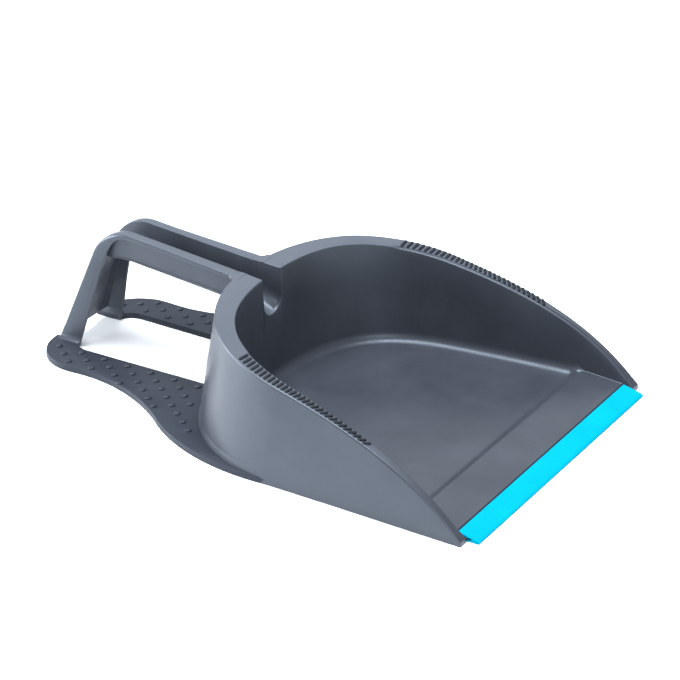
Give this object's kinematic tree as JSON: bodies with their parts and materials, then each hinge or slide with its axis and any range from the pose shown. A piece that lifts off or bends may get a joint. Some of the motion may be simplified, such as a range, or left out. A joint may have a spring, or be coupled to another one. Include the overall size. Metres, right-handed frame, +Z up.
{
  "type": "dustpan",
  "caption": "Handheld dustpan with a deep double-walled bowl, rim combs, hollow loop handle, foot plates and a soft front lip.",
  "frame": {"origin": "centre of the bounding box, on the surface the dustpan stands on", "axes": "+X from the handle towards the lip, +Y to the pan's left, +Z up"},
  "size_m": [0.374, 0.2372, 0.0875],
  "materials": {
    "pan_plastic": "satin moulded polypropylene, dark blue-grey",
    "lip_rubber": "matt soft rubber, cyan"
  },
  "bodies": {
    "root": {"floor_panel": "pan_plastic", "floor_ramp": "pan_plastic", "rear_notch": "pan_plastic", "left_rear_rim": "pan_plastic", "right_rear_rim": "pan_plastic", "left_rear_inner_wall": "pan_plastic", "right_rear_inner_wall": "pan_plastic", "left_rear_skirt": "pan_plastic", "right_rear_skirt": "pan_plastic", "left_wall": "pan_plastic", "right_wall": "pan_plastic", "left_comb": "pan_plastic", "right_comb": "pan_plastic", "handle_grip": "pan_plastic", "handle_leg": "pan_plastic", "left_foot_plate": "pan_plastic", "right_foot_plate": "pan_plastic", "lip": "lip_rubber"}
  },
  "joints": []
}
